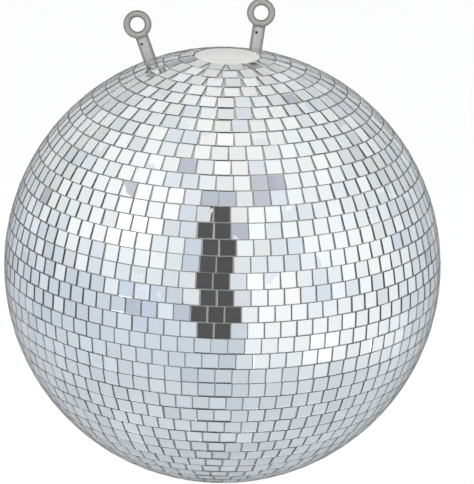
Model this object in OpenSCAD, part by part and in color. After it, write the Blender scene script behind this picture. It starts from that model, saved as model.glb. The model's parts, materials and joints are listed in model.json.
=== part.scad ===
// Hanging mirror ball: two glass-fibre half shells carry an adhesive bed with rows of square
// mirror tiles. Two swivelling ring eyes stand on steel sleeves that an inner load plate holds.
// Origin at the ball's centre, +Z through the pole that the rows of tiles circle, front is -Y.

/* [Ball] */
// Diameter over the corners of the mirror tiles
ball_d = 600; // [560:1:760]
// Thickness of each half shell
shell_t = 3; // [2:0.5:5]
// Thickness of the adhesive bed between the shell and the tiles
bed_t = 2.1; // [1.5:0.1:4]

/* [Mirror tiles] */
// Side of a square tile
tile_side = 20; // [18:0.5:24]
// Thickness of a tile
tile_t = 2.5; // [1.5:0.1:4]
// Joint between two tiles
tile_gap = 1.3; // [1:0.1:2]
// Rows of tiles on each half of the ball
rows_per_half = 20; // [16:1:20]
// Direction of the column where every row starts, counter-clockwise from +X
seam_turn = 268; // [0:1:360]
// Largest part of a tile by which a row starts off that column
row_scatter = 0.5; // [0:0.05:0.5]

/* [Joint band] */
// Height of the band that joins the half shells
band_h = 60; // [40:2:80]
// Thickness of the band
band_t = 3; // [2:0.5:4]
// Rivets in each half shell
rivets_per_half = 12; // [8:1:24]
// Radius of a rivet's shank
rivet_r = 2.4; // [2:0.1:3]

/* [Load plate] */
// Thickness of the dished plate behind the ring eyes
plate_t = 3; // [2:0.5:5]
// Angle from the plate's middle to its rim, seen from the ball's centre
plate_reach = 23; // [21:1:28]
// Screws that clamp the plate to the upper shell
plate_screws = 6; // [4:1:8]
// Angle from the plate's middle to its screws
screw_reach = 19; // [18:0.5:20]
// Radius of a plate screw
screw_r = 3; // [2.5:0.5:4]

/* [Ring eyes] */
// Angle of the left eye from the pole
eye_left_tip = 22.8; // [18:0.1:26]
// Direction in which the left eye stands, counter-clockwise from +X
eye_left_turn = 155.4; // [140:0.1:170]
// Angle of the right eye from the pole
eye_right_tip = 12.7; // [10:0.1:16]
// Direction in which the right eye stands, counter-clockwise from +X
eye_right_turn = 54.7; // [40:0.1:70]
// Outside diameter of the ring
ring_od = 38.5; // [34:0.5:42]
// Inside diameter of the ring
ring_id = 20; // [18:0.5:21]
// Flat land round the inside of the ring
ring_land = 3; // [2:0.5:4]
// Height of the ring's centre over the ball
ring_rise = 50; // [46:0.5:60]

/* [Sleeves] */
// Outside diameter of a sleeve and of the eye's collar
sleeve_d = 17.5; // [15:0.5:19]
// Diameter of the eye's shank
shank_d = 10; // [8:1:10]
// Distance from the ring's centre down to the sleeve
collar_drop = 19.4; // [18.5:0.1:22]
// Distance from the sleeve's mouth to its locking screw
lock_drop = 7.6; // [6:0.1:12]
// Radius of the hole for the locking screw
lock_hole_r = 1.6; // [1.25:0.05:2]
// Turn of the locking screw from the front
lock_turn = -18; // [-40:1:40]

/* [Hidden] */
$fn = 96;
fit = 0.05;          // clearance of parts that touch, and of the swivels
over = 1;            // how far a cutter passes its face
drill_l = 20;        // length of a hole's cutter, which ends just outside the ball

ball_r = ball_d / 2;
face_r = sqrt(ball_r * ball_r - tile_side * tile_side / 2);
bed_r = face_r - tile_t - fit;
shell_r = bed_r - bed_t;
shell_in = shell_r - shell_t;
band_in = shell_in - fit - band_t;
plate_out = shell_in - fit;
plate_in = plate_out - plate_t;

// rows of tiles
row_pitch = 2 * atan((tile_side + tile_gap) / 2 / face_r);
last_edge = rows_per_half * row_pitch;
scatter = rands(-row_scatter, row_scatter, 2 * rows_per_half, 11);
nip_gap = 1.2;       // between a sleeve and the tiles nipped round it
drop_reach = 16;     // a tile whose middle is nearer to a sleeve than this is left out
disc_t = 1.6;        // thickness of the discs that close the tiled rows at the poles
disc_r = ball_r * cos(last_edge) - 1;

// ring eye, measured from the ball's centre along the eye's axis
ring_at = ball_r + ring_rise;
mouth_at = ring_at - collar_drop;
wire_r = (pow(ring_od / 2 - ring_id / 2, 2) + pow(ring_land / 2, 2)) / (ring_od - ring_id);
wire_c = ring_od / 2 - wire_r;
sleeve_r = sleeve_d / 2;
shank_r = shank_d / 2;
flange_r = 14;
flange_t = 4;
flange_at = sqrt(plate_in * plate_in - flange_r * flange_r) - fit;
washer_t = 2;
washer_r = 10;
nut_t = 8;
nut_across = 17;
washer_at = flange_at - flange_t - fit;
nut_at = washer_at - washer_t;
shank_end = nut_at - nut_t - 4;
groove_w = 3.6;
groove_r = shank_r - 1.4;
lock_at = mouth_at - lock_drop;

// plate screws and rivets
screw_head_r = 2 * screw_r;
screw_nut_t = 5;
screw_nut_across = 10;
rivet_head_r = 1.75 * rivet_r;
rivet_rise = band_h / 4;

eye_left_dir = direction(eye_left_tip, eye_left_turn);
eye_right_dir = direction(eye_right_tip, eye_right_turn);
plate_dir = (eye_left_dir + eye_right_dir) / norm(eye_left_dir + eye_right_dir);
plate_tip = acos(plate_dir.z);
plate_turn = atan2(plate_dir.y, plate_dir.x);

function direction(tip, turn) = [sin(tip) * cos(turn), sin(tip) * sin(turn), cos(tip)];
function nut_corner(across) = across / 2 / cos(30);

// the turn about an eye's own axis that makes its ring face the front
function facing(tip, turn) = atan2(-cos(turn), -sin(turn) * cos(tip));

// rows: 0 lies next to the equator
function row_height(row) = (row + 0.5) * row_pitch;
function narrow_r(row) =
    (face_r - tile_t) * cos(row_height(row)) - tile_side / 2 * sin(row_height(row));
function tiles_in(row) = floor(180 / atan((tile_side + tile_gap) / 2 / narrow_r(row)));
function row_start(row, up) = scatter[up > 0 ? row : row + rows_per_half] * 360 / tiles_in(row);
function tile_dir(row, up, n) =
    direction(90 - up * row_height(row), seam_turn + row_start(row, up) + n * 360 / tiles_in(row));
function off_axis(p, axis) = p * axis < 0 ? ball_r : norm(cross(p, axis));
function off_sleeves(p) = min(off_axis(p, eye_left_dir), off_axis(p, eye_right_dir));
function row_name(side, row) = str("tile_row_", side, "_", row < 9 ? "0" : "", row + 1);

// ---- placing ----

// stands its children on the ball, with their +Z pointing out of it
module point_out(tip, turn) {
    rotate([0, tip, turn]) children();
}

module at_left_eye() {
    point_out(eye_left_tip, eye_left_turn)
        rotate([0, 0, facing(eye_left_tip, eye_left_turn)]) children();
}

module at_right_eye() {
    point_out(eye_right_tip, eye_right_turn)
        rotate([0, 0, facing(eye_right_tip, eye_right_turn)]) children();
}

module at_plate_screws() {
    for (n = [0 : plate_screws - 1])
        point_out(plate_tip, plate_turn)
            point_out(screw_reach, plate_turn + (n + 0.5) * 360 / plate_screws) children();
}

// the rivets of the lower half stand between those of the upper half
module at_band_rivets(up) {
    start = up > 0 ? 0.25 : 0.75;
    for (n = [0 : rivets_per_half - 1])
        point_out(90 - up * asin(rivet_rise / shell_r), (n + start) * 360 / rivets_per_half) children();
}

// ---- core ----

module ball_skin(outer, inner) {
    difference() {
        sphere(r = outer);
        sphere(r = inner);
    }
}

module half_space(up) {
    translate([-ball_d, -ball_d, up > 0 ? 0 : -2 * ball_d]) cube(2 * ball_d);
}

// a radial hole through the ball's skins
module drill(r) {
    translate([0, 0, ball_r + over - drill_l]) cylinder(r = r, h = drill_l);
}

module sleeve_holes(r) {
    at_left_eye() drill(r);
    at_right_eye() drill(r);
}

module countersink(r, head_r, top) {
    drill(r + fit);
    translate([0, 0, top - head_r + r]) cylinder(r1 = r + fit, r2 = head_r + fit, h = head_r - r);
    translate([0, 0, top]) cylinder(r = head_r + fit, h = over);
}

function head_top(head_r) = sqrt(shell_r * shell_r - head_r * head_r) - fit;

module half_shell(up) {
    color("gainsboro") difference() {
        intersection() {
            ball_skin(shell_r, shell_in);
            half_space(up);
        }
        at_band_rivets(up) countersink(rivet_r, rivet_head_r, head_top(rivet_head_r));
        if (up > 0) {
            sleeve_holes(sleeve_r + fit);
            at_plate_screws() countersink(screw_r, screw_head_r, head_top(screw_head_r));
        }
    }
}

module shell_upper() {
    half_shell(1);
}

module shell_lower() {
    half_shell(-1);
}

module joint_band() {
    color("silver") difference() {
        intersection() {
            ball_skin(shell_in - fit, band_in);
            cylinder(r = ball_r, h = band_h, center = true);
        }
        at_band_rivets(1) drill(rivet_r + fit);
        at_band_rivets(-1) drill(rivet_r + fit);
    }
}

module blind_rivet() {
    top = head_top(rivet_head_r);
    tail = 3;
    translate([0, 0, band_in - fit]) cylinder(r = rivet_r, h = top - band_in);
    translate([0, 0, top - rivet_head_r + rivet_r])
        cylinder(r1 = rivet_r, r2 = rivet_head_r, h = rivet_head_r - rivet_r);
    translate([0, 0, band_in - fit - tail]) cylinder(r = rivet_r + 1, h = tail);
}

module band_rivets() {
    color("silver") {
        at_band_rivets(1) blind_rivet();
        at_band_rivets(-1) blind_rivet();
    }
}

module tile_bed(up) {
    color("darkgray") difference() {
        intersection() {
            ball_skin(bed_r, shell_r + fit);
            half_space(up);
        }
        if (up > 0) sleeve_holes(sleeve_r + fit);
    }
}

module tile_bed_upper() {
    tile_bed(1);
}

module tile_bed_lower() {
    tile_bed(-1);
}

module pole_disc(up) {
    color("lightgray") mirror([0, 0, up > 0 ? 0 : 1]) intersection() {
        ball_skin(bed_r + fit + disc_t, bed_r + fit);
        cylinder(r = disc_r, h = ball_d);
    }
}

module pole_disc_upper() {
    pole_disc(1);
}

module pole_disc_lower() {
    pole_disc(-1);
}

// ---- mirror tiles ----

module tile(p) {
    point_out(acos(p.z), atan2(p.y, p.x))
        translate([-tile_side / 2, -tile_side / 2, face_r - tile_t])
            cube([tile_side, tile_side, tile_t]);
}

module tile_row(row, up) {
    spots = [for (n = [0 : tiles_in(row) - 1]) tile_dir(row, up, n)];
    clear_of = [for (p = spots) off_sleeves(p) * face_r];
    nip_reach = sleeve_r + nip_gap + tile_side;
    color("aliceblue") for (n = [0 : len(spots) - 1])
        if (clear_of[n] > nip_reach)
            tile(spots[n]);
        else if (clear_of[n] > drop_reach)
            difference() {
                tile(spots[n]);
                sleeve_holes(sleeve_r + nip_gap);
            }
}

// ---- load plate ----

module load_plate() {
    color("silver") difference() {
        point_out(plate_tip, plate_turn) intersection() {
            ball_skin(plate_out, plate_in);
            cylinder(r = plate_out * sin(plate_reach), h = ball_d);
        }
        sleeve_holes(sleeve_r + fit);
        at_plate_screws() drill(screw_r + fit);
    }
}

function screw_nut_top() =
    sqrt(plate_in * plate_in - pow(nut_corner(screw_nut_across), 2)) - fit;

module plate_screws() {
    top = head_top(screw_head_r);
    end = screw_nut_top() - screw_nut_t - 2;
    color("silver") at_plate_screws() {
        translate([0, 0, end]) cylinder(r = screw_r, h = top - end);
        translate([0, 0, top - screw_head_r + screw_r])
            cylinder(r1 = screw_r, r2 = screw_head_r, h = screw_head_r - screw_r);
    }
}

module hex_nut(across, bore_r, t) {
    difference() {
        cylinder(r = nut_corner(across), h = t, $fn = 6);
        translate([0, 0, -over]) cylinder(r = bore_r, h = t + 2 * over);
    }
}

module plate_nuts() {
    color("silver") at_plate_screws() translate([0, 0, screw_nut_top() - screw_nut_t])
        hex_nut(screw_nut_across, screw_r + fit, screw_nut_t);
}

// ---- ring eyes and their sleeves ----

module sleeve() {
    difference() {
        union() {
            translate([0, 0, flange_at - flange_t]) cylinder(r = flange_r, h = flange_t);
            translate([0, 0, flange_at - flange_t])
                cylinder(r = sleeve_r, h = mouth_at - flange_at + flange_t);
        }
        translate([0, 0, shank_end]) cylinder(r = shank_r + fit, h = ball_r);
        translate([0, 0, lock_at]) rotate([0, 90, lock_turn]) cylinder(r = lock_hole_r, h = ball_r);
    }
}

module sleeve_left() {
    color("silver") at_left_eye() sleeve();
}

module sleeve_right() {
    color("silver") at_right_eye() sleeve();
}

module lock_screw() {
    socket_across = 1.5;
    sunk = 0.8;
    from = groove_r + 3 * fit;
    until = sleeve_r - sunk;
    translate([0, 0, lock_at]) rotate([0, 90, lock_turn]) difference() {
        union() {
            translate([0, 0, from]) cylinder(r = lock_hole_r - 0.5, h = until - from);
            translate([0, 0, shank_r + 2 * fit])
                cylinder(r = lock_hole_r - fit, h = until - shank_r - 2 * fit);
        }
        translate([0, 0, until - socket_across])
            cylinder(r = nut_corner(socket_across), h = socket_across + over, $fn = 6);
    }
}

module lock_screws() {
    color("dimgray") {
        at_left_eye() lock_screw();
        at_right_eye() lock_screw();
    }
}

// the neck flares up from the collar to the ring in a quarter hollow, and thins to the wire
module neck() {
    collar_h = 0.8;
    flare_w = 1.8;
    flare_h = 2.6;
    thin_at = 6;
    top = 9;
    steps = 8;
    flare = [for (n = [0 : steps])
        [sleeve_r + flare_w * (1 - cos(90 * n / steps)), collar_h + flare_h * sin(90 * n / steps)]];
    cheek = [[sleeve_r + 1, 0], [sleeve_r + 1, collar_h], [wire_r - 0.3, thin_at], [wire_r - 0.3, top]];
    translate([0, 0, mouth_at + fit]) intersection() {
        rotate_extrude() polygon(concat([[0, 0], [sleeve_r, 0]], flare, [[sleeve_r, top], [0, top]]));
        rotate([90, 0, 0]) linear_extrude(height = 4 * sleeve_r, center = true)
            polygon(concat(cheek, [for (n = [3 : -1 : 0]) [-cheek[n][0], cheek[n][1]]]));
    }
}

module ring_eye() {
    difference() {
        union() {
            translate([0, 0, ring_at]) rotate([0, 90, 0]) rotate_extrude()
                translate([wire_c, 0]) circle(r = wire_r);
            neck();
            translate([0, 0, shank_end]) cylinder(r = shank_r, h = mouth_at + over - shank_end);
        }
        translate([-ring_od, 0, ring_at]) rotate([0, 90, 0])
            cylinder(r = ring_id / 2, h = 2 * ring_od);
        translate([0, 0, lock_at - groove_w / 2]) difference() {
            cylinder(r = shank_r + over, h = groove_w);
            cylinder(r = groove_r, h = groove_w);
        }
    }
}

module ring_eye_left() {
    color("darkgray") at_left_eye() ring_eye();
}

module ring_eye_right() {
    color("darkgray") at_right_eye() ring_eye();
}

module eye_washer() {
    translate([0, 0, washer_at - washer_t]) difference() {
        cylinder(r = washer_r, h = washer_t);
        translate([0, 0, -over]) cylinder(r = shank_r + fit, h = washer_t + 2 * over);
    }
}

module eye_washer_left() {
    color("silver") at_left_eye() eye_washer();
}

module eye_washer_right() {
    color("silver") at_right_eye() eye_washer();
}

module eye_nut() {
    translate([0, 0, nut_at - nut_t]) hex_nut(nut_across, shank_r + fit, nut_t - fit);
}

module eye_nut_left() {
    color("silver") at_left_eye() eye_nut();
}

module eye_nut_right() {
    color("silver") at_right_eye() eye_nut();
}

shell_upper();
shell_lower();
joint_band();
band_rivets();
tile_bed_upper();
tile_bed_lower();
pole_disc_upper();
pole_disc_lower();
load_plate();
plate_screws();
plate_nuts();
sleeve_left();
sleeve_right();
lock_screws();
ring_eye_left();
ring_eye_right();
eye_washer_left();
eye_washer_right();
eye_nut_left();
eye_nut_right();
for (row = [0 : rows_per_half - 1])
    tile_row(row, 1);
for (row = [0 : rows_per_half - 1])
    tile_row(row, -1);
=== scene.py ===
import json
import math
import random

import bpy
from mathutils import Matrix, Vector


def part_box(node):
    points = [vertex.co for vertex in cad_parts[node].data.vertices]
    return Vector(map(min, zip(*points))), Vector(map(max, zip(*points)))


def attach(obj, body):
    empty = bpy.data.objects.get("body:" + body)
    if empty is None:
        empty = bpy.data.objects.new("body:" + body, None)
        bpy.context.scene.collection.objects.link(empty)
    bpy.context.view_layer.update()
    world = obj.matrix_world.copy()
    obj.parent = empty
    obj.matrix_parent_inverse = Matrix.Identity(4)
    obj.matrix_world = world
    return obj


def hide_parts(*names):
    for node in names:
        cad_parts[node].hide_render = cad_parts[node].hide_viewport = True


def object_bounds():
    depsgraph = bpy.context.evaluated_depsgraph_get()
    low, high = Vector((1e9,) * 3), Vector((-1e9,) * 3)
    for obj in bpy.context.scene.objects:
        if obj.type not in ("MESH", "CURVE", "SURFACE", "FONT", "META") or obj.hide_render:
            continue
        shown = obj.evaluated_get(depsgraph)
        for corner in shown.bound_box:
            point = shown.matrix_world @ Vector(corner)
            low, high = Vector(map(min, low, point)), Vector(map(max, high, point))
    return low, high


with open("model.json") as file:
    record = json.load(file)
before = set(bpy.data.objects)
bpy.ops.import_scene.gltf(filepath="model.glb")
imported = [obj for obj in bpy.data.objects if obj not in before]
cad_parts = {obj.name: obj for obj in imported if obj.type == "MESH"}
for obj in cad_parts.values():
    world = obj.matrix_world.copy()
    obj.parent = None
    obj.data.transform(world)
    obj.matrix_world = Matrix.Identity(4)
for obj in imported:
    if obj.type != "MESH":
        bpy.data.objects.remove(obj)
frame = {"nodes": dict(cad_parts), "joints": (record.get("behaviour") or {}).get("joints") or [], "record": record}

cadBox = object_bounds()
nodes = frame["nodes"]
record = frame["record"]
print("frame loaded:", len(nodes), "nodes")


# small tools used by every piece

def dropSelection():
    if bpy.context.object and bpy.context.object.mode != "OBJECT":
        bpy.ops.object.mode_set(mode="OBJECT")
    bpy.ops.object.select_all(action="DESELECT")


def takeUp(*pieces):
    # select these pieces and nothing else; the first is the active one
    dropSelection()
    for piece in pieces:
        piece.select_set(True)
    bpy.context.view_layer.objects.active = pieces[0]


def fresh(name):
    # name the primitive that was just added
    piece = bpy.context.object
    piece.name = piece.data.name = name
    return piece


def editPiece(piece):
    takeUp(piece)
    bpy.ops.object.mode_set(mode="EDIT")


def endEdit():
    bpy.ops.object.mode_set(mode="OBJECT")


def clearPicks(piece):
    for part in (piece.data.vertices, piece.data.edges, piece.data.polygons):
        part.foreach_set("select", [False] * len(part))


def pickFaces(piece, test):
    # in object mode: select the faces whose centre and normal pass the test
    clearPicks(piece)
    for face in piece.data.polygons:
        face.select = bool(test(face.center, face.normal))


def pickEdges(piece, test):
    # in object mode: select the edges whose two ends pass the test
    clearPicks(piece)
    spots = piece.data.vertices
    for edge in piece.data.edges:
        edge.select = bool(test(spots[edge.vertices[0]].co, spots[edge.vertices[1]].co))


def addModifier(piece, kind, **settings):
    modifier = piece.modifiers.new(kind.title(), kind)
    for key, value in settings.items():
        setattr(modifier, key, value)
    takeUp(piece)
    bpy.ops.object.modifier_apply(modifier=modifier.name)


def cutAway(piece, cutter, keepCutter=False):
    addModifier(piece, "BOOLEAN", operation="DIFFERENCE", solver="EXACT", object=cutter)
    if not keepCutter:
        bpy.data.objects.remove(cutter)


def joinPieces(first, *others):
    takeUp(first, *others)
    bpy.ops.object.join()
    return first


def placePiece(piece, matrix):
    # move the mesh, so that the object itself stays at the origin
    piece.data.transform(matrix)
    piece.data.update()


def smoothSides(piece, degrees=35):
    takeUp(piece)
    bpy.ops.object.shade_smooth_by_angle(angle=math.radians(degrees))


def turnShape(name, outline, around=64, closed=False):
    # a turned shape about Z: the outline is a list of (radius, height), run upwards on the outside
    radius, height = outline[0]
    dropSelection()
    fill = "NOTHING" if closed else "NGON"
    bpy.ops.mesh.primitive_circle_add(
        vertices=around, radius=radius, fill_type=fill, location=(0, 0, height))
    piece = fresh(name)
    takeUp(piece)
    bpy.ops.object.transform_apply(location=True, rotation=True, scale=True)
    editPiece(piece)
    bpy.ops.mesh.select_all(action="SELECT")
    for nextRadius, nextHeight in outline[1:]:
        move = {"value": (0, 0, nextHeight - height)}
        if closed:
            bpy.ops.mesh.extrude_edges_move(TRANSFORM_OT_translate=move)
        else:
            bpy.ops.mesh.extrude_region_move(TRANSFORM_OT_translate=move)
        grow = nextRadius / radius
        bpy.ops.transform.resize(value=(grow, grow, 1), center_override=(0, 0, nextHeight))
        radius, height = nextRadius, nextHeight
    if closed:
        # bridge the last loop back to the first
        endEdit()
        ends = [outline[0], outline[-1]]
        pickEdges(piece, lambda a, b: abs(a.z - b.z) < 1e-7 and any(
            abs(a.z - z) < 1e-7 and abs(math.hypot(a.x, a.y) - r) < 1e-6
            and abs(math.hypot(b.x, b.y) - r) < 1e-6 for r, z in ends))
        editPiece(piece)
        bpy.ops.mesh.bridge_edge_loops()
    bpy.ops.mesh.select_all(action="SELECT")
    bpy.ops.mesh.normals_make_consistent(inside=False)
    endEdit()
    return piece


# shader tools and shared effects

def newMaterial(name):
    material = bpy.data.materials.new(name)
    material.use_nodes = True
    tree = material.node_tree
    return material, tree, tree.nodes["Principled BSDF"]


def addNode(tree, kind, inputs=None, **settings):
    node = tree.nodes.new(kind)
    for key, value in settings.items():
        setattr(node, key, value)
    for key, value in (inputs or {}).items():
        if isinstance(value, bpy.types.NodeSocket):
            tree.links.new(value, node.inputs[key])
        else:
            node.inputs[key].default_value = value
    return node


def rampNode(tree, source, stops):
    node = addNode(tree, "ShaderNodeValToRGB", {"Fac": source})
    elements = node.color_ramp.elements
    while len(elements) < len(stops):
        elements.new(0.5)
    for element, (place, tone) in zip(elements, stops):
        element.position = place
        element.color = (tone, tone, tone, 1) if isinstance(tone, (int, float)) else (*tone, 1)
    return node.outputs["Color"]


def mixColours(tree, factor, first, second, blend="MIX"):
    node = tree.nodes.new("ShaderNodeMix")
    node.data_type = "RGBA"
    node.blend_type = blend
    for socket, value in ((node.inputs[0], factor), (node.inputs[6], first), (node.inputs[7], second)):
        if isinstance(value, bpy.types.NodeSocket):
            tree.links.new(value, socket)
        else:
            socket.default_value = value if isinstance(value, (int, float)) else (*value[:3], 1)
    return node.outputs[2]


def mathNode(tree, operation, first, second=0.0, third=0.0, clamp=False):
    return addNode(tree, "ShaderNodeMath", {0: first, 1: second, 2: third},
                   operation=operation, use_clamp=clamp).outputs[0]


def objectPlace(tree):
    return addNode(tree, "ShaderNodeTexCoord").outputs["Object"]


def newGroup(name, inputs, outputs):
    group = bpy.data.node_groups.new(name, "ShaderNodeTree")
    for socketName, kind, value in inputs:
        socket = group.interface.new_socket(socketName, in_out="INPUT", socket_type=kind)
        if value is not None:
            socket.default_value = value
    for socketName, kind in outputs:
        group.interface.new_socket(socketName, in_out="OUTPUT", socket_type=kind)
    return group, group.nodes.new("NodeGroupInput").outputs, group.nodes.new("NodeGroupOutput").inputs


def makeGrainGroup():
    # fine uneven grain: a mask and a height from three sizes of noise
    group, given, out = newGroup("fineGrain", [
        ("Place", "NodeSocketVector", None), ("Size", "NodeSocketFloat", 300.0),
        ("Contrast", "NodeSocketFloat", 0.5)],
        [("Mask", "NodeSocketFloat"), ("Height", "NodeSocketFloat")])
    coarse = addNode(group, "ShaderNodeTexNoise", {"Vector": given["Place"], "Scale": given["Size"],
                                                   "Detail": 6.0, "Roughness": 0.6})
    fineSize = mathNode(group, "MULTIPLY", given["Size"], 4.7)
    fine = addNode(group, "ShaderNodeTexNoise", {"Vector": given["Place"], "Scale": fineSize, "Detail": 3.0})
    both = mathNode(group, "MULTIPLY_ADD", fine.outputs["Fac"], 0.35,
                    mathNode(group, "MULTIPLY", coarse.outputs["Fac"], 0.65))
    centred = mathNode(group, "SUBTRACT", both, 0.5)
    gain = mathNode(group, "MULTIPLY", given["Contrast"], 5.0)
    mask = mathNode(group, "MULTIPLY_ADD", centred, gain, 0.5, clamp=True)
    group.links.new(mask, out["Mask"])
    group.links.new(both, out["Height"])
    return group


def makeDustGroup():
    # settled dust and smears: heavier on what faces up, broken by noise
    group, given, out = newGroup("settledDust", [
        ("Place", "NodeSocketVector", None), ("Amount", "NodeSocketFloat", 0.3),
        ("Size", "NodeSocketFloat", 40.0)], [("Mask", "NodeSocketFloat")])
    facing = addNode(group, "ShaderNodeNewGeometry").outputs["Normal"]
    upward = addNode(group, "ShaderNodeSeparateXYZ", {0: facing}).outputs["Z"]
    lift = mathNode(group, "MULTIPLY_ADD", upward, 0.45, 0.55, clamp=True)
    smear = addNode(group, "ShaderNodeTexNoise", {"Vector": given["Place"], "Scale": given["Size"],
                                                  "Detail": 5.0, "Distortion": 0.8})
    patch = rampNode(group, smear.outputs["Fac"], [(0.35, 0.0), (0.75, 1.0)])
    both = mathNode(group, "MULTIPLY", patch, lift)
    group.links.new(mathNode(group, "MULTIPLY", both, given["Amount"], clamp=True), out["Mask"])
    return group


fineGrain = makeGrainGroup()
settledDust = makeDustGroup()


def placeGroup(tree, group, **inputs):
    node = addNode(tree, "ShaderNodeGroup", node_tree=group)
    for key, value in inputs.items():
        if isinstance(value, bpy.types.NodeSocket):
            tree.links.new(value, node.inputs[key])
        else:
            node.inputs[key].default_value = value
    return node.outputs


def setBump(tree, shader, height, distance, strength=1.0):
    bump = addNode(tree, "ShaderNodeBump", {"Height": height, "Distance": distance, "Strength": strength})
    tree.links.new(bump.outputs["Normal"], shader.inputs["Normal"])


# finishes

mirrorLook = {
    "polish": 0.004,          # roughness of clean glass
    "smear": 0.05,            # added where dust lies
    "waveSize": 55.0,         # waves in the glass, per metre
    "waveDepth": 0.00002,
}


def silveringMaterial():
    # the silver behind the glass
    material, tree, shader = newMaterial("silvering")
    tone = addNode(tree, "ShaderNodeAttribute", attribute_name="tileTone").outputs["Color"]
    tree.links.new(tone, shader.inputs["Base Color"])
    shader.inputs["Metallic"].default_value = 1.0
    shader.inputs["Roughness"].default_value = 0.005
    wave = addNode(tree, "ShaderNodeTexNoise", {"Vector": objectPlace(tree), "Scale": mirrorLook["waveSize"],
                                                "Detail": 1.0})
    setBump(tree, shader, wave.outputs["Fac"], mirrorLook["waveDepth"])
    return material


def clearGlassMaterial():
    material, tree, shader = newMaterial("clearGlass")
    place = objectPlace(tree)
    dust = placeGroup(tree, settledDust, Place=place, Amount=0.5, Size=30.0)["Mask"]
    rough = mathNode(tree, "MULTIPLY_ADD", dust, mirrorLook["smear"], mirrorLook["polish"])
    tree.links.new(rough, shader.inputs["Roughness"])
    shader.inputs["Base Color"].default_value = (0.975, 0.99, 0.985, 1)
    shader.inputs["Transmission Weight"].default_value = 1.0
    shader.inputs["IOR"].default_value = 1.52
    return material


def cutEdgeMaterial():
    # the snapped and ground sides of a tile: half clear, half frosted
    material, tree, shader = newMaterial("cutGlassEdge")
    grain = placeGroup(tree, fineGrain, Place=objectPlace(tree), Size=420.0, Contrast=0.8)
    colour = mixColours(tree, grain["Mask"], (0.70, 0.74, 0.73), (0.90, 0.93, 0.92))
    tree.links.new(colour, shader.inputs["Base Color"])
    tree.links.new(mathNode(tree, "MULTIPLY_ADD", grain["Mask"], 0.08, 0.01), shader.inputs["Roughness"])
    shader.inputs["Transmission Weight"].default_value = 0.86
    shader.inputs["IOR"].default_value = 1.52
    return material


def backPaintMaterial():
    material, tree, shader = newMaterial("backPaint")
    grain = placeGroup(tree, fineGrain, Place=objectPlace(tree), Size=200.0, Contrast=0.5)
    colour = mixColours(tree, grain["Mask"], (0.20, 0.20, 0.21), (0.30, 0.30, 0.31))
    tree.links.new(colour, shader.inputs["Base Color"])
    shader.inputs["Roughness"].default_value = 0.7
    return material


def adhesiveMaterial():
    material, tree, shader = newMaterial("greyAdhesive")
    place = objectPlace(tree)
    grain = placeGroup(tree, fineGrain, Place=place, Size=160.0, Contrast=0.8)
    dust = placeGroup(tree, settledDust, Place=place, Amount=0.8, Size=22.0)["Mask"]
    base = mixColours(tree, grain["Mask"], (0.36, 0.36, 0.345), (0.54, 0.535, 0.51))
    colour = mixColours(tree, dust, base, (0.56, 0.55, 0.52))
    tree.links.new(colour, shader.inputs["Base Color"])
    tree.links.new(mathNode(tree, "MULTIPLY_ADD", grain["Mask"], 0.25, 0.6), shader.inputs["Roughness"])
    setBump(tree, shader, grain["Height"], 0.0006, 0.7)
    return material


def metalMaterial(name, dark, light, rough, grainSize, depth, dusty=0.25, spangle=0.0):
    # satin metal: cloudy tone, grain in roughness and height, a little dust
    material, tree, shader = newMaterial(name)
    place = objectPlace(tree)
    grain = placeGroup(tree, fineGrain, Place=place, Size=grainSize, Contrast=0.6)
    base = mixColours(tree, grain["Mask"], dark, light)
    if spangle:
        flakes = addNode(tree, "ShaderNodeTexVoronoi", {"Vector": place, "Scale": 420.0})
        level = addNode(tree, "ShaderNodeSeparateColor", {0: flakes.outputs["Color"]}).outputs[0]
        base = mixColours(tree, mathNode(tree, "MULTIPLY", level, spangle), base, light)
    dust = placeGroup(tree, settledDust, Place=place, Amount=dusty, Size=90.0)["Mask"]
    colour = mixColours(tree, dust, base, (0.55, 0.54, 0.50))
    tree.links.new(colour, shader.inputs["Base Color"])
    roughness = mathNode(tree, "MULTIPLY_ADD", grain["Mask"], 0.16, rough)
    tree.links.new(mathNode(tree, "MULTIPLY_ADD", dust, 0.3, roughness), shader.inputs["Roughness"])
    metal = mathNode(tree, "MULTIPLY_ADD", dust, -0.5, 1.0)
    tree.links.new(metal, shader.inputs["Metallic"])
    setBump(tree, shader, grain["Height"], depth)
    return material


def spunDiscMaterial():
    material, tree, shader = newMaterial("spunAluminium")
    place = objectPlace(tree)
    parts = addNode(tree, "ShaderNodeSeparateXYZ", {0: place}).outputs
    squares = mathNode(tree, "MULTIPLY_ADD", parts["X"], parts["X"],
                       mathNode(tree, "MULTIPLY", parts["Y"], parts["Y"]))
    reach = mathNode(tree, "SQRT", squares)
    rings = addNode(tree, "ShaderNodeTexNoise", {"W": mathNode(tree, "MULTIPLY", reach, 1.0), "Scale": 1800.0,
                                                 "Detail": 3.0}, noise_dimensions="1D").outputs["Fac"]
    grain = placeGroup(tree, fineGrain, Place=place, Size=120.0, Contrast=0.6)
    base = mixColours(tree, rings, (0.76, 0.76, 0.75), (0.90, 0.90, 0.89))
    dust = placeGroup(tree, settledDust, Place=place, Amount=0.5, Size=35.0)["Mask"]
    tree.links.new(mixColours(tree, dust, base, (0.74, 0.73, 0.70)), shader.inputs["Base Color"])
    tree.links.new(mathNode(tree, "MULTIPLY_ADD", grain["Mask"], 0.2, 0.32), shader.inputs["Roughness"])
    shader.inputs["Metallic"].default_value = 0.25
    setBump(tree, shader, rings, 0.00005)
    return material


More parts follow.
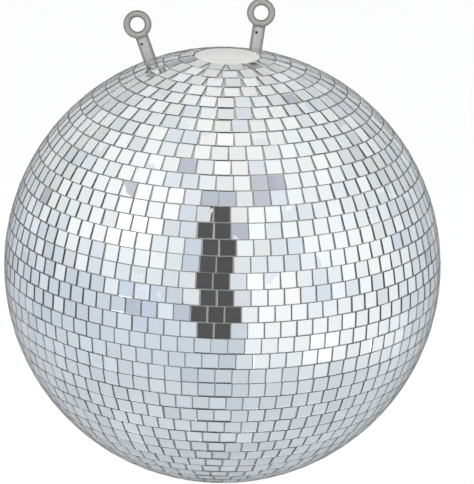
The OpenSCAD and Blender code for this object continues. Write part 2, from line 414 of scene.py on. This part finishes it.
def glassFibreMaterial():
    material, tree, shader = newMaterial("glassFibre")
    place = objectPlace(tree)
    stretched = addNode(tree, "ShaderNodeMapping", {"Vector": place, "Scale": (1.0, 1.0, 6.0)}).outputs[0]
    strands = addNode(tree, "ShaderNodeTexVoronoi", {"Vector": stretched, "Scale": 90.0},
                      feature="DISTANCE_TO_EDGE").outputs["Distance"]
    thread = rampNode(tree, strands, [(0.0, 1.0), (0.12, 0.0)])
    grain = placeGroup(tree, fineGrain, Place=place, Size=60.0, Contrast=0.6)
    base = mixColours(tree, grain["Mask"], (0.55, 0.53, 0.42), (0.68, 0.66, 0.56))
    tree.links.new(mixColours(tree, mathNode(tree, "MULTIPLY", thread, 0.4), base, (0.80, 0.80, 0.74)),
                   shader.inputs["Base Color"])
    shader.inputs["Roughness"].default_value = 0.45
    setBump(tree, shader, thread, 0.0002)
    return material


def blackScrewMaterial():
    material, tree, shader = newMaterial("blackOxide")
    grain = placeGroup(tree, fineGrain, Place=objectPlace(tree), Size=900.0, Contrast=0.6)
    tree.links.new(mixColours(tree, grain["Mask"], (0.010, 0.010, 0.010), (0.035, 0.034, 0.033)),
                   shader.inputs["Base Color"])
    tree.links.new(mathNode(tree, "MULTIPLY_ADD", grain["Mask"], 0.2, 0.3), shader.inputs["Roughness"])
    shader.inputs["Metallic"].default_value = 0.8
    return material


finishes = {
    "silvering": silveringMaterial(),
    "clearGlass": clearGlassMaterial(),
    "cutGlassEdge": cutEdgeMaterial(),
    "backPaint": backPaintMaterial(),
    "adhesive": adhesiveMaterial(),
    "pole_disc": spunDiscMaterial(),
    "ring_steel": metalMaterial("galvanisedSteel", (0.26, 0.25, 0.23), (0.50, 0.49, 0.455), 0.22,
                                420.0, 0.00030, spangle=0.45),
    "sleeve_steel": metalMaterial("zincPlatedSleeve", (0.42, 0.41, 0.40), (0.64, 0.63, 0.64), 0.26,
                                  420.0, 0.00006),
    "zinc_hardware": metalMaterial("zincHardware", (0.50, 0.50, 0.48), (0.68, 0.68, 0.66), 0.30,
                                   400.0, 0.00004),
    "sheet_steel": metalMaterial("primedSteel", (0.34, 0.34, 0.33), (0.44, 0.44, 0.43), 0.42,
                                 150.0, 0.00006, dusty=0.1),
    "rivet": metalMaterial("rivetAluminium", (0.60, 0.61, 0.62), (0.76, 0.77, 0.78), 0.30,
                           500.0, 0.00003, dusty=0.1),
    "black_screw": blackScrewMaterial(),
    "glass_fibre": glassFibreMaterial(),
}
print("finishes made:", len(finishes))


# CAD nodes that keep their own shape

slotOf = {entry["node"]: entry["material_slot"] for entry in record["subparts"]}


def finishNode(name):
    node = nodes[name]
    node.data.materials.clear()
    node.data.materials.append(finishes[slotOf[name]])


for name in ("shell_upper", "shell_lower", "joint_band", "band_rivets", "load_plate", "plate_screws",
             "plate_nuts", "eye_washer_left", "eye_washer_right", "eye_nut_left", "eye_nut_right"):
    finishNode(name)


# where the eyes stand

def eyeFrame(side):
    # Z runs out of the ball along the shank, X through the hole of the ring; origin at the ball's centre
    joint = next(j for j in frame["joints"] if j["name"] == f"eye_{side}_swivel")
    mount = next(m for m in record["mounts"] if m["name"] == f"eye_{side}")
    out = Vector(joint["axis"]).normalized()
    through = Vector(mount["axis"])
    through = (through - out * through.dot(out)).normalized()
    across = out.cross(through)
    ringHeight = Vector(mount["pos_m"]).dot(out)
    turned = Matrix((through, across, out)).transposed().to_4x4()
    return turned, ringHeight


eyeFrames = {side: eyeFrame(side) for side in ("left", "right")}


# mirror tiles

mirrorTile = {
    "side": 0.0204,
    "glass": 0.0016,          # face down to the silvering
    "backing": 0.0009,        # paint and board behind it
    "paintGap": 0.00001,      # air between the silvering and the paint
    "arris": 0.00018,         # corner taken off round the front
    "chip": 0.0022,           # corner snapped off one of the patterns
    "sink": 0.00025,          # set below the nominal ball
    "tilt": 0.55,             # degrees out of true, at one sigma
    "twist": 0.8,             # degrees turned in its own plane
    "slip": 0.0002,           # how far it sits from its place in the row
    "shrink": 0.014,          # how much smaller a tile can be cut
    "nipRadius": 0.00995,     # clearance nipped round a sleeve
    "seed": 5,
}


def addBlock(name, side, top, bottom):
    dropSelection()
    bpy.ops.mesh.primitive_cube_add(size=1, location=(0, 0, (top + bottom) / 2), scale=(side, side, top - bottom))
    block = fresh(name)
    takeUp(block)
    bpy.ops.object.transform_apply(location=True, rotation=True, scale=True)
    return block


def modelTile(name, arris, chip=0.0):
    side, glass = mirrorTile["side"], mirrorTile["glass"]
    tile = addBlock(name, side, 0, -glass)
    if chip:
        pickEdges(tile, lambda a, b: abs(a.z - b.z) > glass / 2 and a.x > 0 and a.y > 0)
        editPiece(tile)
        bpy.ops.mesh.bevel(offset=chip, segments=2, profile=0.35)
        endEdit()
    pickEdges(tile, lambda a, b: a.z > -1e-6 and b.z > -1e-6)
    editPiece(tile)
    bpy.ops.mesh.bevel(offset=arris, segments=1)
    endEdit()
    backing = addBlock(name + "Backing", side * 0.995, -glass - mirrorTile["paintGap"], -glass - mirrorTile["backing"])
    tile.data.materials.append(finishes["clearGlass"])
    tile.data.materials.append(finishes["silvering"])
    tile.data.materials.append(finishes["cutGlassEdge"])
    for face in tile.data.polygons:
        up = face.normal.z
        face.material_index = 0 if up > 0.5 else 1 if up < -0.9 else 2
    backing.data.materials.append(finishes["backPaint"])
    joinPieces(tile, backing)
    tile.data.color_attributes.new("tileTone", "FLOAT_COLOR", "POINT")
    return tile


def tileSpots(node):
    # the tiles of a CAD row: direction, distance of the face, and whether the tile is nipped
    seen = []
    for face in node.data.polygons:
        away = face.normal.dot(face.center)
        if away > 0.5 * cadBox[1].x and face.normal.dot(face.center.normalized()) > 0.99:
            seen.append((math.atan2(face.normal.y, face.normal.x), away, face.area, face.normal.copy()))
    seen.sort(key=lambda entry: entry[0])
    spots = []
    for turn, away, area, normal in seen:
        last = spots[-1] if spots else None
        if last and normal.dot(last["normal"]) > math.cos(math.radians(0.5)):
            last["area"] += area
        elif spots and normal.dot(spots[0]["normal"]) > math.cos(math.radians(0.5)):
            spots[0]["area"] += area
        else:
            spots.append({"normal": normal, "away": away, "area": area})
    full = mirrorTile["side"] ** 2
    for spot in spots:
        spot["nipped"] = spot["area"] < full * 0.995
    return spots


def toneOf(chance):
    # silvering tone: mostly neutral, some cooler or duller
    level = 0.93 + chance.uniform(-0.035, 0.03)
    cool = chance.uniform(-0.004, 0.022)
    return (level - cool, level, min(1.0, level + cool * 0.6), 1.0)


def layTile(pattern, spot, chance):
    tile = pattern.copy()
    tile.data = pattern.data.copy()
    bpy.context.collection.objects.link(tile)
    normal = spot["normal"]
    turn, tip = math.atan2(normal.y, normal.x), math.acos(normal.z)
    lean = [math.radians(max(-1.6, min(1.6, chance.gauss(0, 1))) * mirrorTile["tilt"]) for _ in range(2)]
    twist = math.radians(chance.uniform(-1, 1) * mirrorTile["twist"]) + chance.randrange(4) * math.pi / 2
    size = 1 - chance.uniform(0, 1) * mirrorTile["shrink"]
    slip = mirrorTile["slip"]
    place = (Matrix.Rotation(turn, 4, "Z") @ Matrix.Rotation(tip, 4, "Y")
             @ Matrix.Translation((chance.uniform(-1, 1) * slip, chance.uniform(-1, 1) * slip,
                                   spot["away"] - mirrorTile["sink"]))
             @ Matrix.Rotation(lean[0], 4, "X") @ Matrix.Rotation(lean[1], 4, "Y")
             @ Matrix.Rotation(twist, 4, "Z") @ Matrix.Diagonal((size, size, 1, 1)))
    tile.data.transform(place)
    tone = toneOf(chance)
    tile.data.color_attributes["tileTone"].data.foreach_set("color", tone * len(tile.data.vertices))
    return tile


def sleeveCutter(radius):
    # two rods through both sleeves, for holes round them
    rods = []
    for side, (turned, ringHeight) in eyeFrames.items():
        dropSelection()
        bpy.ops.mesh.primitive_cylinder_add(
            vertices=48, radius=radius, depth=0.08, location=(0, 0, ringHeight - 0.05))
        rod = fresh("sleeveRod" + side)
        takeUp(rod)
        bpy.ops.object.transform_apply(location=True, rotation=True, scale=True)
        placePiece(rod, turned)
        rods.append(rod)
    cutter = joinPieces(*rods)
    cutter.data.materials.append(finishes["cutGlassEdge"])
    return cutter


def makeTileRows():
    patterns = [modelTile("tilePattern", mirrorTile["arris"]),
                modelTile("tilePatternWorn", mirrorTile["arris"] * 1.7),
                modelTile("tilePatternChipped", mirrorTile["arris"], mirrorTile["chip"])]
    chance = random.Random(mirrorTile["seed"])
    laid = 0
    for name in sorted(n for n in nodes if n.startswith("tile_row")):
        spots = tileSpots(nodes[name])
        tiles = [layTile(chance.choices(patterns, (70, 22, 8))[0], spot, chance) for spot in spots]
        laid += len(tiles)
        row = joinPieces(*tiles)
        row.name = row.data.name = name.replace("tile_row", "mirror_row")
        if any(spot["nipped"] for spot in spots):
            cutAway(row, sleeveCutter(mirrorTile["nipRadius"]))
        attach(row, "ball")
        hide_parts(name)
    for pattern in patterns:
        bpy.data.objects.remove(pattern)
    print("mirror tiles laid:", laid)


makeTileRows()


# adhesive bed

adhesiveBed = {
    "around": 256,
    "rings": 150,
    "squeeze": 0.00075,       # how far the adhesive rises between the tiles
    "lumps": 0.0005,          # height of its unevenness
    "lumpSize": 0.012,
    "thickness": 0.0025,
    "holeRadius": 0.00885,
}


def makeBed(side, up):
    node = "tile_bed_" + side
    low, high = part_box(node)
    radius = high.x + adhesiveBed["squeeze"]
    dropSelection()
    bpy.ops.mesh.primitive_uv_sphere_add(
        segments=adhesiveBed["around"], ring_count=adhesiveBed["rings"], radius=radius)
    bed = fresh("adhesive_bed_" + side)
    editPiece(bed)
    bpy.ops.mesh.select_all(action="SELECT")
    bpy.ops.mesh.bisect(plane_co=(0, 0, 0), plane_no=(0, 0, up), clear_inner=True)
    endEdit()
    lumps = bpy.data.textures.new("adhesiveLumps" + side, "CLOUDS")
    lumps.noise_scale = adhesiveBed["lumpSize"]
    addModifier(bed, "DISPLACE", texture=lumps, texture_coords="LOCAL",
                strength=adhesiveBed["lumps"], mid_level=1.0)
    addModifier(bed, "SOLIDIFY", thickness=adhesiveBed["thickness"], offset=-1)
    if up > 0:
        cutAway(bed, sleeveCutter(adhesiveBed["holeRadius"]))
    bed.data.materials.clear()
    bed.data.materials.append(finishes["adhesive"])
    smoothSides(bed, 60)
    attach(bed, "ball")
    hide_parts(node)
    return bed


makeBed("upper", 1)
makeBed("lower", -1)
print("adhesive beds made")


# pole discs

poleDisc = {
    "around": 96,
    "thickness": 0.0016,
    "rim": 0.0005,            # rounding of the rim
    "dish": 0.0006,           # step of the ring pressed into the disc
}


def makePoleDisc(side, up):
    node = "pole_disc_" + side
    low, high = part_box(node)
    top = max(abs(low.z), abs(high.z))
    reach = high.x
    slope = math.sqrt(top * top - reach * reach)
    steps = [(0.002, top), (reach * 0.35, 0), (reach * 0.56, 0), (reach * 0.60, -1), (reach * 0.64, -1),
             (reach * 0.68, 0), (reach * 0.85, 0), (reach, 0)]
    outline = [(r, math.sqrt(top * top - r * r) + dip * poleDisc["dish"] * (dip != 0) * (dip != top))
               for r, dip in steps]
    outline[0] = (0.002, top)
    outline += [(reach, slope - poleDisc["thickness"])]
    piece = turnShape("disc_" + side, outline[::-1], poleDisc["around"])
    takeUp(piece)
    addModifier(piece, "BEVEL", width=poleDisc["rim"], segments=3, limit_method="ANGLE",
                angle_limit=math.radians(40))
    if up < 0:
        placePiece(piece, Matrix.Rotation(math.pi, 4, "X"))
    piece.data.materials.append(finishes["pole_disc"])
    smoothSides(piece, 25)
    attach(piece, "ball")
    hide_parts(node)


makePoleDisc("upper", 1)
makePoleDisc("lower", -1)
print("pole discs made")


# sleeves and their locking screws

sleeveShape = {
    "radius": 0.00875,
    "bore": 0.00505,
    "mouthDrop": 0.0194,      # from the ring's centre down to the mouth
    "chamfer": 0.0004,
    "flangeRadius": 0.014,
    "flangeThickness": 0.004,
    "lockDrop": 0.0076,
    "lockRadius": 0.0016,
    "lockMouth": 0.0021,      # countersunk round the hole
    "lockTurn": -18.0,
    "around": 72,
}


def footHeight(side):
    # how far from the ball's centre the sleeve's flange ends
    turned, ringHeight = eyeFrames[side]
    inward = turned.inverted()
    return min((inward @ v.co).z for v in nodes["sleeve_" + side].data.vertices)


def makeSleeve(side):
    turned, ringHeight = eyeFrames[side]
    shape = sleeveShape
    mouth, foot = ringHeight - shape["mouthDrop"], footHeight(side)
    edge, outer, bore = shape["chamfer"], shape["radius"], shape["bore"]
    flange, deep = shape["flangeRadius"], shape["flangeThickness"]
    outline = [(bore, foot), (flange - edge, foot), (flange, foot + edge), (flange, foot + deep - edge),
               (flange - edge, foot + deep), (outer + edge * 2, foot + deep), (outer, foot + deep + edge * 2),
               (outer, mouth - edge), (outer - edge, mouth), (bore + edge, mouth), (bore, mouth - edge)]
    sleeve = turnShape("sleeve_tube_" + side, outline, shape["around"], closed=True)
    lockHeight = mouth - shape["lockDrop"]
    dropSelection()
    bpy.ops.mesh.primitive_cylinder_add(vertices=32, radius=shape["lockRadius"], depth=outer * 2,
                                        location=(outer, 0, lockHeight), rotation=(0, math.pi / 2, 0))
    drill = fresh("lockDrill")
    takeUp(drill)
    bpy.ops.object.transform_apply(location=True, rotation=True, scale=True)
    spin = Matrix.Rotation(math.radians(shape["lockTurn"]), 4, "Z")
    placePiece(drill, spin)
    cutAway(sleeve, drill)
    dropSelection()
    sink = shape["lockMouth"] - shape["lockRadius"]
    bpy.ops.mesh.primitive_cone_add(vertices=32, radius1=shape["lockRadius"], radius2=shape["lockMouth"] + sink,
                                    depth=sink * 2, location=(outer - sink * 0.1, 0, lockHeight),
                                    rotation=(0, math.pi / 2, 0))
    countersink = fresh("lockCountersink")
    takeUp(countersink)
    bpy.ops.object.transform_apply(location=True, rotation=True, scale=True)
    placePiece(countersink, spin)
    cutAway(sleeve, countersink)
    placePiece(sleeve, turned)
    sleeve.data.materials.clear()
    sleeve.data.materials.append(finishes["sleeve_steel"])
    smoothSides(sleeve, 30)
    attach(sleeve, "ball")
    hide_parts("sleeve_" + side)


lockScrew = {
    "radius": 0.0015,
    "tipRadius": 0.0011,
    "sunk": 0.0013,
    "from": 0.0038,
    "socket": 0.00085,        # corner radius of the hexagon socket
    "socketDepth": 0.0012,
    "threadStep": 0.0005,
}


def makeLockScrew(side):
    turned, ringHeight = eyeFrames[side]
    shape = lockScrew
    head = sleeveShape["radius"] - shape["sunk"]
    neck = sleeveShape["bore"] + 0.0001
    outline = [(shape["tipRadius"] * 0.7, shape["from"]), (shape["tipRadius"], shape["from"] + 0.0003),
               (shape["tipRadius"], neck)]
    height = neck
    while height + shape["threadStep"] < head:
        outline += [(shape["radius"] * 0.86, height + 0.00005),
                    (shape["radius"], height + shape["threadStep"] / 2)]
        height += shape["threadStep"]
    outline += [(shape["radius"], head - 0.0001), (shape["radius"] * 0.88, head)]
    screw = turnShape("lock_screw_" + side, outline, 32)
    dropSelection()
    bpy.ops.mesh.primitive_cylinder_add(vertices=6, radius=shape["socket"], depth=shape["socketDepth"] * 2,
                                        location=(0, 0, head))
    socket = fresh("hexSocket")
    takeUp(socket)
    bpy.ops.object.transform_apply(location=True, rotation=True, scale=True)
    cutAway(screw, socket)
    lift = Matrix.Translation((0, 0, ringHeight - sleeveShape["mouthDrop"] - sleeveShape["lockDrop"]))
    spin = Matrix.Rotation(math.radians(sleeveShape["lockTurn"]), 4, "Z")
    placePiece(screw, turned @ spin @ lift @ Matrix.Rotation(math.pi / 2, 4, "Y"))
    return screw


def makeLockScrews():
    screws = joinPieces(makeLockScrew("left"), makeLockScrew("right"))
    screws.name = screws.data.name = "lock_screw_pair"
    screws.data.materials.clear()
    screws.data.materials.append(finishes["black_screw"])
    smoothSides(screws, 30)
    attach(screws, "ball")
    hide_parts("lock_screws")


for side in eyeFrames:
    makeSleeve(side)
makeLockScrews()
print("sleeves and locking screws made")


# ring eyes

ringEye = {
    "outer": 0.01925,         # outside radius of the ring
    "hole": 0.010,
    "wire": 0.00475,          # radius of the round section
    "collar": 0.00875,
    "collarHeight": 0.0008,
    "flareWide": 0.0018,
    "flareHigh": 0.0026,
    "shank": 0.0050,
    "voxel": 0.00042,
    "smoothing": 8,
    "threadStep": 0.0015,
    "threadLength": 0.016,
    "threadDepth": 0.0008,
    "grooveRadius": 0.0036,
    "grooveWidth": 0.0036,
}


def makeForging(ringHeight):
    # ring and neck in one: blended by remeshing, as a forging is
    shape = ringEye
    dropSelection()
    bpy.ops.mesh.primitive_torus_add(
        major_radius=shape["outer"] - shape["wire"], minor_radius=shape["wire"],
        major_segments=128, minor_segments=40, location=(0, 0, ringHeight), rotation=(0, math.pi / 2, 0))
    ring = fresh("ringForging")
    takeUp(ring)
    bpy.ops.object.transform_apply(location=True, rotation=True, scale=True)
    bottom = ringHeight - sleeveShape["mouthDrop"] + 0.0004
    collar, wide, high = shape["collar"], shape["flareWide"], shape["flareHigh"]
    outline = [(collar * 0.99, bottom)]
    for n in range(6):
        turn = math.radians(18 * n)
        outline.append((collar * 0.99 + wide * (1 - math.cos(turn)),
                        bottom + shape["collarHeight"] + high * math.sin(turn)))
    outline += [(collar + wide * 0.6, bottom + 0.0052), (collar * 0.8, bottom + 0.0072)]
    neck = turnShape("neckForging", outline, 64)
    # thin the neck to the wire as it rises
    for v in neck.data.vertices:
        rise = max(0.0, min(1.0, (v.co.z - bottom - 0.0006) / 0.0050))
        thick = collar + (shape["wire"] * 0.95 - collar) * rise * (2 - rise)
        v.co.x *= min(1.0, thick / max(math.hypot(v.co.x, v.co.y), 1e-6))
    forging = joinPieces(ring, neck)
    addModifier(forging, "REMESH", mode="VOXEL", voxel_size=shape["voxel"])
    addModifier(forging, "SMOOTH", iterations=shape["smoothing"], factor=0.5)
    dropSelection()
    bpy.ops.mesh.primitive_cylinder_add(
        vertices=128, radius=shape["hole"], depth=0.03,
        location=(0, 0, ringHeight), rotation=(0, math.pi / 2, 0))
    reamer = fresh("holeReamer")
    takeUp(reamer)
    bpy.ops.object.transform_apply(location=True, rotation=True, scale=True)
    cutAway(forging, reamer)
    return forging


def makeShank(ringHeight, end):
    shape = ringEye
    mouth = ringHeight - sleeveShape["mouthDrop"]
    lock = mouth - sleeveShape["lockDrop"]
    radius, deep, step = shape["shank"], shape["threadDepth"], shape["threadStep"]
    outline = [(radius - deep, end), (radius - deep / 2, end + 0.0006)]
    height = end + 0.001
    while height < end + shape["threadLength"]:
        outline += [(radius, height + step * 0.44), (radius, height + step * 0.56), (radius - deep, height + step)]
        height += step
    half = shape["grooveWidth"] / 2
    outline += [(radius, height + 0.0008), (radius, lock - half - 0.0002), (shape["grooveRadius"], lock - half),
                (shape["grooveRadius"], lock + half), (radius, lock + half + 0.0002),
                (radius, mouth + 0.00005), (shape["collar"] - 0.0004, mouth + 0.00005),
                (shape["collar"], mouth + 0.00045), (shape["collar"], mouth + shape["collarHeight"]),
                (shape["collar"] - 0.0005, mouth + shape["collarHeight"] + 0.0003)]
    return turnShape("shankTurning", outline, 72)


def makeRingEye(side):
    turned, ringHeight = eyeFrames[side]
    inward = turned.inverted()
    end = min((inward @ v.co).z for v in nodes["ring_eye_" + side].data.vertices)
    eye = joinPieces(makeForging(ringHeight), makeShank(ringHeight, end))
    eye.name = eye.data.name = "forged_eye_" + side
    placePiece(eye, turned)
    eye.data.materials.clear()
    eye.data.materials.append(finishes["ring_steel"])
    smoothSides(eye, 40)
    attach(eye, "eye_" + side)
    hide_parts("ring_eye_" + side)


for side in eyeFrames:
    makeRingEye(side)
print("ring eyes made")


# camera

photoView = {
    "elevation": 18.3,        # degrees above the tiles' equator
    "distance": 12.0,         # in ball radii
    "roll": -1.37,
    "lens": 194.3,
    "shiftX": 0.0302,
    "shiftY": 0.0471,
}


def makeCamera():
    radius = cadBox[1].x
    lift = math.radians(photoView["elevation"])
    back = Vector((0, -math.cos(lift), math.sin(lift)))
    dropSelection()
    bpy.ops.object.camera_add(location=back * radius * photoView["distance"])
    camera = bpy.context.object
    camera.name = "photoCamera"
    aim = (-back).to_track_quat("-Z", "Y").to_matrix().to_4x4()
    roll = Matrix.Rotation(math.radians(-photoView["roll"]), 4, "Z")
    camera.matrix_world = Matrix.Translation(camera.location) @ aim @ roll
    camera.data.lens = photoView["lens"]
    camera.data.sensor_width = 36
    camera.data.shift_x = photoView["shiftX"]
    camera.data.shift_y = photoView["shiftY"]
    camera.data.dof.use_dof = False
    bpy.context.scene.camera = camera


makeCamera()


# studio

studio = {
    "floorDrop": 1.2,         # floor below the ball's centre
    "floorSize": 60.0,
    "backdrop": 1.0,          # what the lens sees past the floor
    "softLight": 1.02,        # even light on everything matt
    "keyPower": 26.0,
    "unevenness": 0.16,       # cloudiness of the reflected room
    "patchwork": 0.75,        # strength of its small coloured patches
}

# the lit room that the mirrors reflect: turn and rise of each soft panel as seen from the ball
# (turn 0 is behind the camera, positive to its right), half width, half height, softness, tone, weight
roomPanels = [
    ("frontWall", -7, 8, 19, 54, 9, (0.58, 0.63, 0.70), 1.0),
    ("leftBank", -78, 34, 52, 26, 16, (1.04, 1.05, 1.06), 1.0),
    ("rightBank", 68, 16, 56, 50, 8, (1.00, 1.005, 1.02), 1.0),
    ("rightFar", 120, 5, 24, 30, 16, (0.78, 0.83, 0.90), 0.7),
    ("backWall", 180, 28, 70, 22, 16, (0.74, 0.745, 0.735), 0.85),
    ("leftLow", -66, -18, 60, 20, 12, (0.66, 0.72, 0.80), 0.9),
    ("blueCurtain", -42, -6, 11, 10, 5, (0.60, 0.69, 0.87), 0.75),
    ("blueDoor", 50, 4, 8, 12, 4, (0.70, 0.80, 0.92), 0.6),
    ("lilacPoster", 41, 57, 5, 3.5, 1.5, (0.33, 0.31, 0.45), 0.9),
    ("ceiling", 0, 90, 400, 26, 12, (0.97, 0.965, 0.95), 0.9),
    ("leftLampGlow", -55.6, 28.9, 8, 8, 8, (1.6, 1.6, 1.62), 1.0),
    ("rightLampGlow", 55.8, -30, 5, 5, 7, (1.5, 1.5, 1.52), 1.0),
    ("leftLamp", -55.6, 28.9, 1.6, 1.6, 0.5, (30.0, 30.0, 30.0), 1.0),
    ("rightLamp", 55.8, -30, 1.4, 1.4, 0.5, (24.0, 24.0, 24.0), 1.0),
]


def makePanelGroup():
    # a soft-edged rectangle in turn and rise
    names = ("Turn", "Rise", "At Turn", "At Rise", "Half Width", "Half Height", "Softness")
    group, given, out = newGroup("softPanel", [(name, "NodeSocketFloat", 10.0) for name in names],
                                 [("Mask", "NodeSocketFloat")])
    sides = []
    for place, middle, half in (("Turn", "At Turn", "Half Width"), ("Rise", "At Rise", "Half Height")):
        off = mathNode(group, "SUBTRACT", given[place], given[middle])
        wrapped = mathNode(group, "WRAP", off, 180.0, -180.0) if place == "Turn" else off
        inside = mathNode(group, "SUBTRACT", given[half], mathNode(group, "ABSOLUTE", wrapped))
        soft = mathNode(group, "MULTIPLY_ADD", mathNode(group, "DIVIDE", inside, given["Softness"]), 0.5, 0.5)
        edge = addNode(group, "ShaderNodeMapRange", {"Value": soft}, interpolation_type="SMOOTHSTEP")
        sides.append(edge.outputs["Result"])
    group.links.new(mathNode(group, "MULTIPLY", *sides), out["Mask"])
    return group


def studioWorld():
    softPanel = makePanelGroup()
    world = bpy.data.worlds.new("studioWorld")
    bpy.context.scene.world = world
    world.use_nodes = True
    tree = world.node_tree
    background = tree.nodes["Background"]
    toward = addNode(tree, "ShaderNodeTexCoord").outputs["Generated"]
    parts = addNode(tree, "ShaderNodeSeparateXYZ", {0: toward}).outputs
    forward = mathNode(tree, "MULTIPLY", parts["Y"], -1.0)
    turn = mathNode(tree, "MULTIPLY", mathNode(tree, "ARCTAN2", parts["X"], forward), 57.2958)
    rise = mathNode(tree, "MULTIPLY", mathNode(tree, "ARCSINE", parts["Z"]), 57.2958)
    height = mathNode(tree, "MULTIPLY_ADD", parts["Z"], 0.5, 0.5)
    light = rampNode(tree, height, [
        (0.0, (0.66, 0.70, 0.75)), (0.20, (0.69, 0.73, 0.78)), (0.40, (0.72, 0.77, 0.83)),
        (0.60, (0.84, 0.87, 0.90)), (0.85, (0.97, 0.975, 0.97))])
    for name, atTurn, atRise, wide, tall, soft, tone, weight in roomPanels:
        mask = placeGroup(tree, softPanel, Turn=turn, Rise=rise)["Mask"]
        given = mask.node.inputs
        for key, value in (("At Turn", atTurn), ("At Rise", atRise), ("Half Width", wide),
                           ("Half Height", tall), ("Softness", soft)):
            given[key].default_value = value
        mask.node.label = name
        light = mixColours(tree, mathNode(tree, "MULTIPLY", mask, weight), light, tone)
        if name == "ceiling":
            light = roughenRoom(tree, toward, rise, light)
    # bare metal sees a plainer room, darker behind, so that its round edges read
    around = mathNode(tree, "DIVIDE", mathNode(tree, "ABSOLUTE", turn), 180.0)
    plainRoom = rampNode(tree, around, [(0.0, 0.78), (0.12, 1.15), (0.30, 0.92), (0.58, 0.46), (0.85, 0.26)])
    rays = addNode(tree, "ShaderNodeLightPath").outputs
    offMetal = mathNode(tree, "SUBTRACT", rays["Is Glossy Ray"], rays["Is Transmission Ray"], clamp=True)
    light = mixColours(tree, offMetal, light, plainRoom)
    light = mixColours(tree, rays["Is Diffuse Ray"], light, (studio["softLight"],) * 3)
    light = mixColours(tree, rays["Is Camera Ray"], light, (studio["backdrop"],) * 3)
    tree.links.new(light, background.inputs["Color"])


def roughenRoom(tree, toward, rise, light):
    # uneven walls: soft clouds, and a patchwork of things that are paler, bluer or darker
    clouds = addNode(tree, "ShaderNodeTexNoise", {"Vector": toward, "Scale": 3.1, "Detail": 4.0})
    cloudTone = rampNode(tree, clouds.outputs["Fac"], [(0.34, (0.50, 0.56, 0.64)), (0.50, (1.0, 1.0, 1.0)),
                                                       (0.66, (1.36, 1.34, 1.30))])
    light = mixColours(tree, studio["unevenness"], light, mixColours(tree, 1.0, light, cloudTone, "MULTIPLY"))
    furnished = addNode(tree, "ShaderNodeMapRange", {"Value": rise, "From Min": -26.0, "From Max": 2.0,
                                                     "To Min": 0.12}, interpolation_type="SMOOTHSTEP").outputs[0]
    cells = addNode(tree, "ShaderNodeTexVoronoi", {"Vector": toward, "Scale": 11.0}, distance="CHEBYCHEV")
    draw = addNode(tree, "ShaderNodeSeparateColor", {0: cells.outputs["Color"]}).outputs
    for channel, above, tone, weight in ((0, 0.80, (0.62, 0.72, 0.86), 0.55), (1, 0.975, (0.34, 0.33, 0.44), 0.8),
                                         (2, 0.66, (1.12, 1.12, 1.12), 0.6), (1, 0.30, (0.60, 0.65, 0.70), -1)):
        if weight < 0:
            hit = mathNode(tree, "LESS_THAN", draw[channel], above * 0.6)
            weight = 0.28
        else:
            hit = mathNode(tree, "GREATER_THAN", draw[channel], above)
        amount = mathNode(tree, "MULTIPLY", mathNode(tree, "MULTIPLY", hit, furnished), weight * studio["patchwork"])
        light = mixColours(tree, amount, light, tone)
    return light


darkFlag = {
    "left": -12.5,            # degrees round from the front
    "right": 8.0,
    "low": -17.0,             # degrees up from level
    "high": 45.0,
    "distance": 2.6,
}


def makeFlag():
    # the tall black flag beside the lens, which the middle tiles reflect
    material, tree, shader = newMaterial("blackFlag")
    grain = placeGroup(tree, fineGrain, Place=objectPlace(tree), Size=6.0, Contrast=0.6)
    tree.links.new(mixColours(tree, grain["Mask"], (0.035, 0.034, 0.034), (0.055, 0.052, 0.050)),
                   shader.inputs["Base Color"])
    shader.inputs["Roughness"].default_value = 0.9
    shape = darkFlag
    away = shape["distance"]
    left, right = (math.tan(math.radians(shape[k])) * away for k in ("left", "right"))
    low, high = (math.tan(math.radians(shape[k])) * away for k in ("low", "high"))
    dropSelection()
    bpy.ops.mesh.primitive_cube_add(
        size=1, location=((left + right) / 2, -away, (low + high) / 2), scale=(right - left, 0.02, high - low))
    flag = fresh("blackFlag")
    takeUp(flag)
    bpy.ops.object.transform_apply(location=True, rotation=True, scale=True)
    flag.data.materials.append(material)
    flag.visible_camera = False
    flag.visible_diffuse = False
    flag.visible_glossy = False
    flag.visible_shadow = False


def makeFloor():
    material, tree, shader = newMaterial("paleFloor")
    grain = placeGroup(tree, fineGrain, Place=objectPlace(tree), Size=3.0, Contrast=0.2)
    tree.links.new(mixColours(tree, grain["Mask"], (0.94, 0.94, 0.94), (0.96, 0.96, 0.96)),
                   shader.inputs["Base Color"])
    shader.inputs["Roughness"].default_value = 1.0
    shader.inputs["Specular IOR Level"].default_value = 0.0
    dropSelection()
    bpy.ops.mesh.primitive_plane_add(size=studio["floorSize"], location=(0, 0, -studio["floorDrop"]))
    floor = fresh("paleFloor")
    takeUp(floor)
    bpy.ops.object.transform_apply(location=True, rotation=True, scale=True)
    floor.data.materials.append(material)
    floor.visible_glossy = floor.visible_transmission = False


def makeLight(name, place, size, power):
    dropSelection()
    bpy.ops.object.light_add(type="AREA", location=place)
    light = bpy.context.object
    light.name = name
    light.data.shape = "DISK"
    light.data.size = size
    light.data.energy = power
    light.rotation_euler = (-Vector(place)).to_track_quat("-Z", "Y").to_euler()
    light.visible_glossy = light.visible_transmission = False


studioWorld()
makeFlag()
makeFloor()
makeLight("keyLight", (-1.6, -2.2, 2.6), 1.2, studio["keyPower"])
makeLight("fillLight", (2.4, -1.4, 1.2), 1.6, studio["keyPower"] * 0.5)
bpy.context.scene.view_settings.view_transform = "Standard"
print("studio made")
